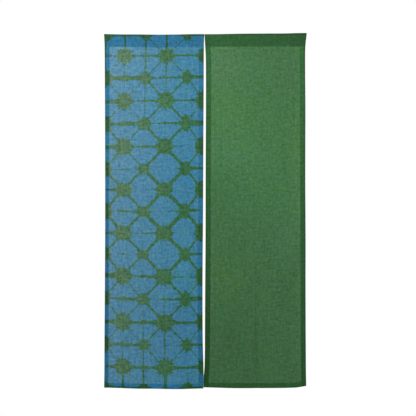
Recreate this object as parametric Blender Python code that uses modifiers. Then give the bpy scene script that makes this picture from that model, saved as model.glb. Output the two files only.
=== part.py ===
"""A noren: two flat-hung cotton panels side by side, each with a rod pocket along its top.

Metres, +Z up, +X to the right of someone who faces the front, which looks along -Y. The origin is on the
top edge, midway between the panels, where the rod that carries them runs. Each panel is one thin sheet with
its side hems and foot hem, and each heading is the strip above it, folded over to a tube for the rod.
"""
import math
from collections import namedtuple

import bmesh
import bpy

MM = 0.001

# Cloth
CLOTH_THICKNESS = 1.2 * MM
HEM_THICKNESS = 2.2 * MM
SIDE_HEM_WIDTH = 21 * MM
FOOT_HEM_WIDTH = 21 * MM
HEM_STEP_WIDTH = 1.2 * MM
PANEL_LENGTH = 1500 * MM

# Heading, a tube that hangs from its rod and closes at the seam
HEADING_HEIGHT = 55 * MM
ROD_FOLD_RADIUS = 7.0 * MM
SEAM_FOLD_RADIUS = 0.9 * MM
SEAM_GAP = 0.3 * MM

# Mesh
FIELD_COLUMNS = 14
FIELD_ROWS = 24
HEADING_COLUMNS = 12
ROD_ARC_STEPS = 8
SEAM_ARC_STEPS = 4
WALL_STEPS = 4
WELD_DISTANCE = 0.02 * MM

# The folds fade in below the heading's straight seam
FOLD_FADE_START = 60 * MM
FOLD_FADE_END = 520 * MM

# Side edges, in millimetres: distance below the top, and X of the left and the right edge there
SideRow = namedtuple("SideRow", "drop left right")
# Top and foot edges: place across the panel from 0 to 1, and millimetres above the nominal level
EndRow = namedtuple("EndRow", "across top foot")
# Soft folds: place across at the top and at the foot, the drops between which it runs, its half width
# and its depth in millimetres, towards the back where it is positive
FoldRow = namedtuple("FoldRow", "across_top across_foot starts ends half_width depth")
Panel = namedtuple("Panel", "name colour sides ends folds")

LEFT_PANEL = Panel(
    name="left",
    colour=(0.075, 0.215, 0.365),
    sides=(
        SideRow(drop=0, left=-424.6, right=-2.0),
        SideRow(drop=45, left=-422.3, right=-3.9),
        SideRow(drop=210, left=-421.5, right=-4.9),
        SideRow(drop=470, left=-420.0, right=-5.9),
        SideRow(drop=770, left=-420.5, right=-6.9),
        SideRow(drop=1050, left=-421.6, right=-9.7),
        SideRow(drop=1280, left=-422.7, right=-8.2),
        SideRow(drop=1430, left=-423.1, right=-4.8),
        SideRow(drop=1505, left=-424.8, right=-1.9),
    ),
    ends=(
        EndRow(across=0.00, top=0.4, foot=3.4),
        EndRow(across=0.15, top=-1.4, foot=2.4),
        EndRow(across=0.35, top=-2.1, foot=-0.2),
        EndRow(across=0.54, top=-3.0, foot=-1.4),
        EndRow(across=0.72, top=-2.2, foot=-2.6),
        EndRow(across=0.90, top=0.2, foot=-1.5),
        EndRow(across=1.00, top=0.4, foot=-0.6),
    ),
    folds=(
        FoldRow(across_top=0.20, across_foot=0.24, starts=150, ends=1600, half_width=70, depth=-4.5),
        FoldRow(across_top=0.50, across_foot=0.47, starts=250, ends=1600, half_width=52, depth=4.0),
        FoldRow(across_top=0.80, across_foot=0.76, starts=500, ends=1600, half_width=46, depth=-4.0),
    ),
)

RIGHT_PANEL = Panel(
    name="right",
    colour=(0.062, 0.168, 0.070),
    sides=(
        SideRow(drop=0, left=1.8, right=431.2),
        SideRow(drop=48, left=4.4, right=426.0),
        SideRow(drop=110, left=6.4, right=425.4),
        SideRow(drop=320, left=6.9, right=426.4),
        SideRow(drop=600, left=6.0, right=426.0),
        SideRow(drop=870, left=4.7, right=427.6),
        SideRow(drop=1080, left=2.9, right=427.2),
        SideRow(drop=1280, left=2.4, right=428.3),
        SideRow(drop=1430, left=-0.6, right=429.4),
        SideRow(drop=1505, left=-1.5, right=430.8),
    ),
    ends=(
        EndRow(across=0.00, top=-0.4, foot=4.6),
        EndRow(across=0.14, top=0.3, foot=3.2),
        EndRow(across=0.37, top=1.5, foot=1.5),
        EndRow(across=0.60, top=2.2, foot=2.0),
        EndRow(across=0.80, top=3.0, foot=2.6),
        EndRow(across=0.91, top=4.2, foot=4.6),
        EndRow(across=1.00, top=4.8, foot=10.2),
    ),
    folds=(
        FoldRow(across_top=0.24, across_foot=0.27, starts=300, ends=1600, half_width=50, depth=-4.0),
        FoldRow(across_top=0.52, across_foot=0.52, starts=950, ends=1600, half_width=24, depth=5.5),
        FoldRow(across_top=0.72, across_foot=0.76, starts=200, ends=1600, half_width=60, depth=-4.5),
        FoldRow(across_top=0.78, across_foot=1.04, starts=1230, ends=1600, half_width=20, depth=3.5),
    ),
)


def smoothstep(low, high, value):
    """0 below low, 1 above high, and a smooth S between them."""
    t = min(max((value - low) / (high - low), 0.0), 1.0)
    return t * t * (3.0 - 2.0 * t)


def read_curve(rows, key, column, at):
    """One column of a table, read as a smooth curve through its rows with matched slopes at each."""
    keys = [getattr(row, key) for row in rows]
    values = [getattr(row, column) for row in rows]
    slopes = []
    for i in range(len(rows)):
        before = max(i - 1, 0)
        after = min(i + 1, len(rows) - 1)
        slopes.append((values[after] - values[before]) / (keys[after] - keys[before]))
    at = min(max(at, keys[0]), keys[-1])
    i = max(k for k in range(len(rows) - 1) if keys[k] <= at)
    span = keys[i + 1] - keys[i]
    t = (at - keys[i]) / span
    start = (1.0 + 2.0 * t) * (1.0 - t) ** 2 * values[i] + t * (1.0 - t) ** 2 * span * slopes[i]
    end = t * t * (3.0 - 2.0 * t) * values[i + 1] - t * t * (1.0 - t) * span * slopes[i + 1]
    return start + end


def side_x(panel, across, drop):
    """X of a point of a panel, from its place across and its distance below the top."""
    left = read_curve(panel.sides, "drop", "left", drop / MM) * MM
    right = read_curve(panel.sides, "drop", "right", drop / MM) * MM
    return left + across * (right - left)


def top_z(panel, across):
    """Height of the uneven top edge."""
    return read_curve(panel.ends, "across", "top", across) * MM


def foot_z(panel, across):
    """Height of the uneven foot."""
    return -PANEL_LENGTH + read_curve(panel.ends, "across", "foot", across) * MM


def fold_y(panel, across, drop):
    """Depth of the cloth: round troughs and ridges that run down the panel and grow towards its foot."""
    width = side_x(panel, 1.0, drop) - side_x(panel, 0.0, drop)
    share = drop / PANEL_LENGTH
    y = 0.0
    for fold in panel.folds:
        centre = fold.across_top + (fold.across_foot - fold.across_top) * share
        away = (across - centre) * width / (fold.half_width * MM)
        y += fold.depth * MM * math.exp(-away * away) * smoothstep(fold.starts * MM, fold.ends * MM, drop)
    return y * smoothstep(FOLD_FADE_START, FOLD_FADE_END, drop)


def spaced_shares(length, hem, steps, hem_at_start):
    """Shares of a length from 0 to 1: even steps, and two close ones at the inner edge of each hem."""
    hem_share = hem / length
    step_share = HEM_STEP_WIDTH / length
    first = hem_share + step_share if hem_at_start else 0.0
    last = 1.0 - hem_share - step_share
    inner = [first + (last - first) * k / steps for k in range(steps + 1)]
    before = [0.0, hem_share] if hem_at_start else []
    return before + inner + [1.0 - hem_share, 1.0]


def new_object(name, mesh_data, material, collection):
    """An object of the collection, smooth but for its sharp edges."""
    mesh = bpy.data.meshes.new(name)
    mesh_data.to_mesh(mesh)
    mesh_data.free()
    mesh.materials.append(material)
    mesh.shade_smooth()
    mesh.set_sharp_from_angle(angle=math.radians(40))
    obj = bpy.data.objects.new(name, mesh)
    collection.objects.link(obj)
    return obj


def cloth_material(name, colour):
    """Dyed cotton: the dye's colour, no gloss."""
    material = bpy.data.materials.new(name)
    material.use_nodes = True
    shader = material.node_tree.nodes["Principled BSDF"]
    shader.inputs["Base Color"].default_value = (*colour, 1.0)
    shader.inputs["Roughness"].default_value = 0.92
    shader.inputs["Metallic"].default_value = 0.0
    return material


def grid_mesh(columns, rows):
    """A flat grid, and for each point its column and row number."""
    bm = bmesh.new()
    bmesh.ops.create_grid(bm, x_segments=columns, y_segments=rows, size=0.5)
    places = {}
    for vert in bm.verts:
        column = round((vert.co.x + 0.5) * columns)
        row = round((0.5 - vert.co.y) * rows)
        places[vert] = (column, row)
    return bm, places


def build_panel(panel, material, collection):
    """One sheet from the heading's seam to the foot, with its side hems and foot hem thicker at the back."""
    seam_drop = HEADING_HEIGHT + SEAM_GAP / 2
    width = side_x(panel, 1.0, PANEL_LENGTH / 2) - side_x(panel, 0.0, PANEL_LENGTH / 2)
    shares_across = spaced_shares(width, SIDE_HEM_WIDTH, FIELD_COLUMNS, True)
    shares_down = spaced_shares(PANEL_LENGTH - seam_drop, FOOT_HEM_WIDTH, FIELD_ROWS, False)
    columns = len(shares_across) - 1
    rows = len(shares_down) - 1
    bm, places = grid_mesh(columns, rows)

    hem_points = []
    for vert, (column, row) in places.items():
        across = shares_across[column]
        down = shares_down[row]
        z = -seam_drop + down * (foot_z(panel, across) + seam_drop)
        front_y = fold_y(panel, across, -z) - CLOTH_THICKNESS / 2
        vert.co = (side_x(panel, across, -z), front_y, z)
        in_side_hem = column <= 1 or column >= columns - 1
        if in_side_hem or row >= rows - 1:
            hem_points.append(vert.index)

    sheet = new_object(panel.name + "_panel", bm, material, collection)
    hem = sheet.vertex_groups.new(name="hems")
    hem.add(range(len(sheet.data.vertices)), CLOTH_THICKNESS / HEM_THICKNESS, "REPLACE")
    hem.add(hem_points, 1.0, "REPLACE")
    shell = sheet.modifiers.new("cloth thickness", "SOLIDIFY")
    shell.thickness = HEM_THICKNESS
    shell.offset = -1.0
    shell.vertex_group = hem.name
    return sheet


def pocket_section():
    """The pocket's cross-section as a belt round two pulleys: the rod's fold above, the seam's fold below.

    Returns (depth, fall) pairs round the loop. Fall is 0 at the top of the fold and 1 at the seam, and
    depth is the distance in Y from the loop's middle.
    """
    height = HEADING_HEIGHT - SEAM_GAP / 2 - CLOTH_THICKNESS
    centre_distance = height - ROD_FOLD_RADIUS - SEAM_FOLD_RADIUS
    lean = math.asin((ROD_FOLD_RADIUS - SEAM_FOLD_RADIUS) / centre_distance)
    points = []

    def add_arc(radius, centre_fall, start, end, steps):
        for k in range(steps + 1):
            turn = start + (end - start) * k / steps
            points.append((radius * math.cos(turn), centre_fall - radius * math.sin(turn)))

    def add_wall(wall_end):
        y0, f0 = points[-1]
        y1, f1 = wall_end
        for k in range(1, WALL_STEPS):
            points.append((y0 + (y1 - y0) * k / WALL_STEPS, f0 + (f1 - f0) * k / WALL_STEPS))

    upper = ROD_FOLD_RADIUS
    lower = height - SEAM_FOLD_RADIUS
    add_arc(ROD_FOLD_RADIUS, upper, -lean, math.pi + lean, ROD_ARC_STEPS)
    turn = math.pi + lean
    add_wall((SEAM_FOLD_RADIUS * math.cos(turn), lower - SEAM_FOLD_RADIUS * math.sin(turn)))
    add_arc(SEAM_FOLD_RADIUS, lower, turn, 2.0 * math.pi - lean, SEAM_ARC_STEPS)
    add_wall(points[0])
    points.append(points[0])
    return [(depth, fall / height) for depth, fall in points]


def build_heading(panel, material, collection):
    """The heading's tube: the pocket's section carried across the panel's width, open at both ends."""
    section = pocket_section()
    bm, places = grid_mesh(HEADING_COLUMNS, len(section) - 1)
    half_cloth = CLOTH_THICKNESS / 2
    seam_z = -(HEADING_HEIGHT - SEAM_GAP / 2) + half_cloth
    for vert, (column, row) in places.items():
        across = column / HEADING_COLUMNS
        depth, fall = section[row]
        top = top_z(panel, across) - half_cloth
        z = top + fall * (seam_z - top)
        vert.co = (side_x(panel, across, max(-z, 0.0)), depth, z)
    bmesh.ops.remove_doubles(bm, verts=bm.verts[:], dist=WELD_DISTANCE)
    bmesh.ops.recalc_face_normals(bm, faces=bm.faces[:])

    tube = new_object(panel.name + "_heading", bm, material, collection)
    shell = tube.modifiers.new("cloth thickness", "SOLIDIFY")
    shell.thickness = CLOTH_THICKNESS
    shell.offset = 0.0
    shell.use_even_offset = True
    return tube


def main():
    """Build both panels and their headings."""
    for obj in list(bpy.data.objects):
        bpy.data.objects.remove(obj, do_unlink=True)
    collection = bpy.data.collections.new("noren_curtain")
    bpy.context.scene.collection.children.link(collection)
    for panel in (LEFT_PANEL, RIGHT_PANEL):
        heading_cloth = cloth_material(panel.name + "_heading_cloth", panel.colour)
        panel_cloth = cloth_material(panel.name + "_panel_cloth", panel.colour)
        build_heading(panel, heading_cloth, collection)
        build_panel(panel, panel_cloth, collection)


main()
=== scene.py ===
"""The looks of a noren: two hemmed cotton panels, one clamp-dyed in a lattice of stars and one plain green.

Each panel is one cut of cloth, worked out on a grid of two parameters: across the cut, from raw edge to raw
edge through both side hems, and along it, from the raw edge inside the rod pocket, over the rod, down the
front and up the foot hem. Metres, +Z up, the front faces -Y, the origin is midway along the top edge.
"""
import math

from collections import namedtuple

import bpy
import numpy as np
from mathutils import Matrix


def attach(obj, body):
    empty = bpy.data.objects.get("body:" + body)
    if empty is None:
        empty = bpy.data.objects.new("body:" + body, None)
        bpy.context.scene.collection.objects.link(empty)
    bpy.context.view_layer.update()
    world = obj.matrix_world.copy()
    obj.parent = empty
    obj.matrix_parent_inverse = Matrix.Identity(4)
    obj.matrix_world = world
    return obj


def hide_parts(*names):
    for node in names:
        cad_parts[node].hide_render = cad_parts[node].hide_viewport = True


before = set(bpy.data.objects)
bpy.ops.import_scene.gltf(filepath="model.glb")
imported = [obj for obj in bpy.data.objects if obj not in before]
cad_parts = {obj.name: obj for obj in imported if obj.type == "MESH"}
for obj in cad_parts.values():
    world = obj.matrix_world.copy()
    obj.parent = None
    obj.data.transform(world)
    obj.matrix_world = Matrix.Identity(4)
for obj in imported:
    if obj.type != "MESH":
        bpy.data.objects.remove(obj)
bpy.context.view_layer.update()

bl_info = {
    "name": "Noren curtain",
    "version": (1, 0, 0),
    "blender": (4, 5, 0),
    "location": "View3D > Sidebar > Noren",
    "description": "Makes a two-panel noren with clamp-dyed and plain cloth",
    "category": "Object",
}

MM = 0.001

# Side edges, in millimetres: distance below the top, X of the left and the right edge there, and the widths
# of the left and the right hem
SideRow = namedtuple("SideRow", "drop left right left_hem right_hem")
# Top and foot edges: place across the panel from 0 to 1, and millimetres above the nominal level of the top
# edge, of the heading's seam and of the foot
EndRow = namedtuple("EndRow", "across top seam foot")
# Soft folds: place across at the top and at the foot, the drops between which it grows, its half width
# and its depth in millimetres, towards the back where it is positive
FoldRow = namedtuple("FoldRow", "across_top across_foot starts ends half_width depth")
Panel = namedtuple("Panel", "name node_names slot seed sides ends folds")

LEFT_PANEL = Panel(
    name="left",
    node_names=("left_heading", "left_panel"),
    slot="clamp_dyed_cotton",
    seed=11,
    sides=(
        SideRow(drop=0, left=-425.0, right=-0.9, left_hem=20.5, right_hem=21.0),
        SideRow(drop=45, left=-423.0, right=-2.8, left_hem=20.5, right_hem=21.0),
        SideRow(drop=210, left=-421.8, right=-3.5, left_hem=19.8, right_hem=21.0),
        SideRow(drop=470, left=-420.9, right=-4.9, left_hem=17.5, right_hem=21.0),
        SideRow(drop=770, left=-420.6, right=-6.3, left_hem=15.2, right_hem=21.0),
        SideRow(drop=1050, left=-421.7, right=-8.4, left_hem=16.0, right_hem=21.0),
        SideRow(drop=1280, left=-423.4, right=-7.6, left_hem=17.0, right_hem=21.0),
        SideRow(drop=1400, left=-423.8, right=-4.7, left_hem=17.5, right_hem=21.0),
        SideRow(drop=1430, left=-424.0, right=-4.1, left_hem=17.7, right_hem=21.0),
        SideRow(drop=1450, left=-424.2, right=-4.3, left_hem=17.8, right_hem=21.0),
        SideRow(drop=1480, left=-424.7, right=-4.8, left_hem=18.0, right_hem=21.0),
        SideRow(drop=1505, left=-425.3, right=-5.0, left_hem=18.0, right_hem=21.0),
    ),
    ends=(
        EndRow(across=0.00, top=0.8, seam=2.0, foot=3.1),
        EndRow(across=0.15, top=-0.5, seam=2.0, foot=2.0),
        EndRow(across=0.35, top=-0.8, seam=1.0, foot=-1.3),
        EndRow(across=0.54, top=-1.7, seam=-0.8, foot=-2.1),
        EndRow(across=0.72, top=-1.0, seam=0.8, foot=-3.0),
        EndRow(across=0.90, top=0.6, seam=2.4, foot=-1.5),
        EndRow(across=1.00, top=0.8, seam=2.6, foot=-0.6),
    ),
    folds=(
        FoldRow(across_top=0.20, across_foot=0.24, starts=150, ends=1600, half_width=70, depth=-4.5),
        FoldRow(across_top=0.50, across_foot=0.47, starts=250, ends=1600, half_width=52, depth=4.0),
        FoldRow(across_top=0.80, across_foot=0.76, starts=500, ends=1600, half_width=46, depth=-4.0),
    ),
)

RIGHT_PANEL = Panel(
    name="right",
    node_names=("right_heading", "right_panel"),
    slot="plain_dyed_cotton",
    seed=23,
    sides=(
        SideRow(drop=0, left=0.2, right=432.3, left_hem=22.0, right_hem=22.0),
        SideRow(drop=48, left=3.0, right=427.3, left_hem=22.0, right_hem=22.0),
        SideRow(drop=110, left=5.8, right=426.1, left_hem=22.0, right_hem=22.0),
        SideRow(drop=320, left=6.1, right=427.3, left_hem=22.0, right_hem=22.0),
        SideRow(drop=600, left=4.9, right=426.8, left_hem=22.0, right_hem=21.5),
        SideRow(drop=870, left=4.4, right=428.1, left_hem=22.0, right_hem=21.5),
        SideRow(drop=1080, left=2.9, right=428.0, left_hem=22.0, right_hem=21.5),
        SideRow(drop=1280, left=1.8, right=428.7, left_hem=22.0, right_hem=21.0),
        SideRow(drop=1340, left=1.7, right=429.1, left_hem=21.5, right_hem=21.0),
        SideRow(drop=1405, left=0.1, right=429.5, left_hem=21.5, right_hem=21.0),
        SideRow(drop=1430, left=-1.3, right=429.7, left_hem=21.5, right_hem=21.0),
        SideRow(drop=1450, left=-3.6, right=430.0, left_hem=22.5, right_hem=21.0),
        SideRow(drop=1480, left=-4.2, right=430.6, left_hem=22.5, right_hem=21.0),
        SideRow(drop=1505, left=-4.4, right=431.1, left_hem=22.5, right_hem=21.0),
    ),
    ends=(
        EndRow(across=0.00, top=0.1, seam=2.6, foot=4.3),
        EndRow(across=0.14, top=0.5, seam=2.8, foot=2.9),
        EndRow(across=0.37, top=2.4, seam=3.2, foot=0.8),
        EndRow(across=0.60, top=3.0, seam=3.8, foot=1.3),
        EndRow(across=0.80, top=3.5, seam=4.0, foot=2.3),
        EndRow(across=0.91, top=4.9, seam=4.2, foot=4.2),
        EndRow(across=1.00, top=5.3, seam=4.2, foot=10.3),
    ),
    folds=(
        FoldRow(across_top=0.24, across_foot=0.27, starts=300, ends=1600, half_width=50, depth=-4.0),
        FoldRow(across_top=0.51, across_foot=0.51, starts=950, ends=1600, half_width=24, depth=5.0),
        FoldRow(across_top=0.515, across_foot=0.510, starts=900, ends=1450, half_width=8, depth=1.2),
        FoldRow(across_top=0.72, across_foot=0.76, starts=200, ends=1600, half_width=60, depth=-4.5),
        FoldRow(across_top=0.78, across_foot=1.04, starts=1230, ends=1600, half_width=20, depth=3.5),
    ),
)

PANELS = (LEFT_PANEL, RIGHT_PANEL)
FOLD_FADE_START = 60 * MM
FOLD_FADE_END = 520 * MM

# Front face of the solids' sheet, on which the cloth's own front lies
FRONT_LEVEL = -0.6 * MM
# In the corners, where the side hems and the turned ends cross, the turned plies stand further back: how far
# past the side hem this fades out, and by how many plies the first and the second turned ply shift
CORNER_START = 1.5 * MM
CORNER_END = 14 * MM
CORNER_PLIES = (2, 6)
# Lines of the mesh over the side hems and the foot hem, in millimetres from the fold, and just past a hem
SIDE_HEM_LINES = (3, 9, 15, 17.5, 19, 20.4)
FOOT_HEM_LINES = (20.4, 19, 17.5, 11, 5, 2)
PAST_HEM = 0.5 * MM
# Rows of the mesh in the turned-in lip of the rod pocket
POCKET_LIP_ROWS = 8
# How fast the painted shade along the outer folds, where the cloth turns away from the light, fades inwards
EDGE_SHADE = 2.6 * MM
# Sewing, and the small checks of the weave
STITCH_PITCH = 3.4 * MM
STITCH_LENGTH = 2.7 * MM
THREAD_WIDTH = 0.42 * MM
WEAVE_CHECK = 1.9 * MM
# Width of the picture in pixels, its scale, and the lamp
PICTURE_WIDTH = 416
MM_PER_PIXEL = 4.235
KEY_LAMP_PLACE = (-0.85, -1.5, 0.35)
KEY_LAMP_AIM = (-0.1, 0.0, -0.45)
KEY_LAMP_SIZE = 1.1

# The dyer's folds. Columns: X in millimetres of each upright fold, at five heights down the panel.
ColumnRow = namedtuple("ColumnRow", "drop x")
FOLD_COLUMNS = (
    ColumnRow(drop=0, x=(-423.5, -334.5, -247.5, -159.0, -69.5, 2.0)),
    ColumnRow(drop=375, x=(-423.5, -342.7, -255.5, -167.3, -76.5, -10.0)),
    ColumnRow(drop=750, x=(-423.5, -345.6, -259.6, -172.2, -83.3, -11.0)),
    ColumnRow(drop=1125, x=(-423.5, -348.5, -260.3, -171.2, -77.3, -10.5)),
    ColumnRow(drop=1500, x=(-423.5, -346.0, -257.7, -165.7, -68.3, 3.0)),
)
COLUMN_PITCH = 87.2 * MM
ROW_PITCH = 92.7 * MM

# Rows of the dyer's chart, top to foot, all in millimetres: how far below the top the fold lies at the left
# and at the right edge, and how much further it sags midway; the radius of the mark where each upright fold
# crosses it (a star where column and row number are both odd or both even, else a dot); how many times
# taller than wide its three stars are; the width of the fold's own line at each column and midway between;
# and, from this row to the next, the width of each upright line and of each slanting line.
ChartRow = namedtuple("ChartRow", "left right sag marks tall across down slant")
CHART = (
    ChartRow(6, 6, 0, (31, 2, 21, 1, 22, 3), (1, 1, 1.15),
             (6, 5, 4, 5, 4, 0.6, 0.6, 1, 3, 5, 1), (12, 6.5, 6, 6.5, 0, 0), (0, 0, 2, 2.2, 0)),
    ChartRow(92, 89, 0, (0, 33, 4, 32.4, 4, 33), (0.97, 1, 1),
             (7, 3.5, 5, 4, 4, 5.5, 6, 8, 2.5, 8, 9), (9, 2.4, 5, 4.8, 0, 0), (1.4, 0, 3.6, 2.8, 0.6)),
    ChartRow(186, 179, 2, (33, 12, 24, 4, 24, 0), (1, 1, 1.4),
             (14, 13, 15, 12, 11, 3.3, 3.5, 4.2, 8, 15, 9.5), (3, 0.7, 2.9, 3, 0, 0),
             (2.6, 2.2, 6.5, 5.1, 3.2)),
    ChartRow(286.5, 278, 0, (4, 33, 4, 32.7, 0, 36.5), (0.98, 1, 1),
             (6.5, 14, 6, 2.6, 2.6, 7.4, 8, 8.2, 2.7, 8, 10), (2, 0.5, 1.6, 0.6, 0, 0),
             (3.1, 2.3, 5.8, 6.6, 3)),
    ChartRow(380, 375, 0, (33, 9, 25, 3, 26.5, 0), (1, 1, 1.5),
             (7, 5.3, 15, 10.7, 10, 2.8, 3, 7.8, 12, 20, 15), (2, 0, 0, 0.9, 0, 0), (6.9, 4.2, 8.8, 8, 4.9)),
    ChartRow(479, 474, 0, (3, 35, 4, 32.5, 0, 36), (0.9, 0.97, 1),
             (8, 16, 7, 3.3, 4.6, 8.8, 8, 3.2, 0, 0, 8), (0, 0, 0, 0, 0, 0), (6.4, 4.8, 8.3, 10.5, 6.4)),
    ChartRow(573, 566.5, 1.5, (33, 0, 21.8, 0, 26, 0), (1, 0.84, 1.3),
             (0, 1, 5, 1.4, 3, 0, 0, 0.9, 6, 12, 8.5), (0, 0, 0, 0, 0, 0), (9, 8, 12, 13.6, 9.8)),
    ChartRow(658, 658.5, -0.5, (0, 32.5, 0, 31.3, 0, 36), (0.84, 0.97, 1),
             (0.2, 11.4, 6, 0.1, 0.7, 2.4, 6, 0, 0, 0, 8), (0, 0, 0, 0, 0, 0), (9, 8.2, 11.8, 13.1, 8.8)),
    ChartRow(747.5, 744, 5.5, (35.5, 0, 24, 0, 28, 0), (1, 0.82, 1.3),
             (0, 0.2, 7.5, 6.3, 9, 0, 0.2, 3.1, 6, 12.5, 0.3), (0, 0, 0, 0, 0, 0),
             (10.9, 9.3, 14.3, 14.9, 12.1)),
    ChartRow(842, 842, 0.5, (1.5, 34, 0, 33.2, 0, 37), (0.82, 0.96, 1),
             (1.2, 14, 6, 1.6, 4, 4.5, 8, 1.9, 0, 0, 8), (0, 0, 0, 0, 0, 0), (9.2, 6.6, 9.6, 13.8, 7.1)),
    ChartRow(927.5, 928.5, 5.5, (29, 3, 20.7, 0, 25, 0), (1, 0.75, 1.2),
             (4, 0.3, 1.4, 0.4, 3, 0, 0, 0, 4, 9.5, 3), (0, 0, 0, 0, 0, 0), (9.2, 6, 10.3, 10.8, 10.4)),
    ChartRow(1019.5, 1030, 2.5, (4, 36.4, 4, 33, 0, 36.5), (0.95, 1, 1),
             (11, 22.5, 10, 6.3, 6.7, 10.7, 9, 4.1, 1, 1, 8), (0, 0, 0, 0, 0, 0), (5.6, 2.7, 7.7, 8.4, 3.8)),
    ChartRow(1115.5, 1119, 6.5, (29.5, 8, 23.5, 3, 26.5, 0), (1, 1, 1.35),
             (2, 2, 9.5, 8.8, 8, 0, 2.8, 5.8, 9, 17, 11.5), (0, 0.9, 1.1, 2.2, 0, 0),
             (5.6, 2.6, 7.4, 6.3, 4.6)),
    ChartRow(1216.5, 1221.5, 2.5, (3, 36, 8, 33.7, 2, 36), (0.98, 1.03, 1),
             (6, 17, 6, 9, 8, 13.4, 9, 13.7, 4.5, 7.5, 10), (0.9, 0.3, 2.6, 6.2, 0, 0),
             (2.5, 1.6, 4.2, 4.8, 2.7)),
    ChartRow(1309, 1314.5, 5.5, (32.5, 9.5, 22.5, 0, 23.5, 0), (1, 1, 1.3),
             (5, 8.2, 9, 7.6, 7, 0, 1, 1, 5, 8.8, 6.2), (0.7, 2.7, 4.4, 1.8, 0, 0), (1.8, 0.3, 3.5, 3, 2.8)),
    ChartRow(1405, 1409.5, 6, (0.5, 35, 6, 34.5, 2, 34), (0.97, 1.1, 1),
             (0.5, 10.7, 8, 8, 9.7, 9.2, 9, 12, 3.2, 13.8, 10), (0.8, 9.3, 7, 11, 1.5, 0), (0.8, 1, 0, 0, 0)),
    ChartRow(1492, 1497, 2.5, (24, 4.5, 19, 2.5, 24, 0), (1, 1.15, 1.15),
             (5, 7.3, 4, 3, 5, 0, 1.5, 0.8, 5, 9, 11), (2, 4, 4, 4, 0, 0), (0, 0, 0, 0, 0)),
)

# Soft patches where the colour is lighter or darker, most where the dye took more or less, and two narrow
# dark ones low on the plain panel painted shade along a crease: X and distance below the top of the middle,
# half width and half height, all in millimetres, the change in red, green and blue in hundredths, and whether
# the patch lies on the doubled cloth of the hems and the heading or on the single cloth between them
PatchRow = namedtuple("PatchRow", "x drop half_width half_height red green blue doubled", defaults=(False,))
LEFT_PATCHES = (
    PatchRow(x=-12, drop=650, half_width=14, half_height=700, red=20, green=8, blue=9, doubled=True),
    PatchRow(x=-414, drop=1000, half_width=16, half_height=260, red=-4, green=-11, blue=-2, doubled=True),
    PatchRow(x=-400, drop=1420, half_width=60, half_height=300, red=-4, green=-4, blue=-3, doubled=True),
    PatchRow(x=-385, drop=750, half_width=35, half_height=900, red=8, green=0, blue=2),
    PatchRow(x=-210, drop=320, half_width=60, half_height=80, red=0, green=7, blue=6),
    PatchRow(x=-100, drop=440, half_width=75, half_height=60, red=-6, green=3, blue=2),
    PatchRow(x=-100, drop=610, half_width=80, half_height=130, red=-14, green=-4, blue=2),
    PatchRow(x=-90, drop=1040, half_width=70, half_height=90, red=-2, green=5, blue=-2),
    PatchRow(x=-110, drop=1240, half_width=90, half_height=110, red=-6, green=-9, blue=-5),
)
RIGHT_PATCHES = (
    PatchRow(x=8, drop=27, half_width=14, half_height=30, red=-20, green=-15, blue=-18, doubled=True),
    PatchRow(x=421, drop=27, half_width=12, half_height=30, red=-14, green=-11, blue=-14, doubled=True),
    PatchRow(x=417, drop=380, half_width=16, half_height=440, red=16, green=8, blue=7, doubled=True),
    PatchRow(x=12, drop=1420, half_width=18, half_height=170, red=-14, green=-8, blue=-18, doubled=True),
    PatchRow(x=395, drop=620, half_width=30, half_height=620, red=14, green=9, blue=6),
    PatchRow(x=31, drop=80, half_width=6, half_height=35, red=10, green=3, blue=9),
    PatchRow(x=70, drop=130, half_width=90, half_height=90, red=18, green=4, blue=18),
    PatchRow(x=300, drop=150, half_width=180, half_height=90, red=8, green=2, blue=8),
    PatchRow(x=70, drop=320, half_width=100, half_height=110, red=16, green=11, blue=2),
    PatchRow(x=200, drop=320, half_width=120, half_height=120, red=5, green=8, blue=2),
    PatchRow(x=90, drop=500, half_width=120, half_height=90, red=7, green=10, blue=15),
    PatchRow(x=220, drop=500, half_width=110, half_height=110, red=9, green=11, blue=9),
    PatchRow(x=370, drop=450, half_width=100, half_height=180, red=11, green=9, blue=2),
    PatchRow(x=220, drop=680, half_width=150, half_height=110, red=2, green=7, blue=8),
    PatchRow(x=370, drop=700, half_width=100, half_height=130, red=10, green=8, blue=8),
    PatchRow(x=370, drop=850, half_width=120, half_height=100, red=5, green=4, blue=10),
    PatchRow(x=95, drop=1040, half_width=80, half_height=90, red=7, green=6, blue=-4),
    PatchRow(x=90, drop=1280, half_width=90, half_height=90, red=-4, green=-5, blue=-9),
    PatchRow(x=330, drop=1420, half_width=140, half_height=90, red=6, green=1, blue=1),
    # Painted shade along a crease: a narrow dark line low on the plain panel
    PatchRow(x=218, drop=1240, half_width=6, half_height=260, red=-2, green=-9, blue=-7),
    PatchRow(x=220, drop=1400, half_width=6, half_height=85, red=-8, green=-8, blue=-8),
)


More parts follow.
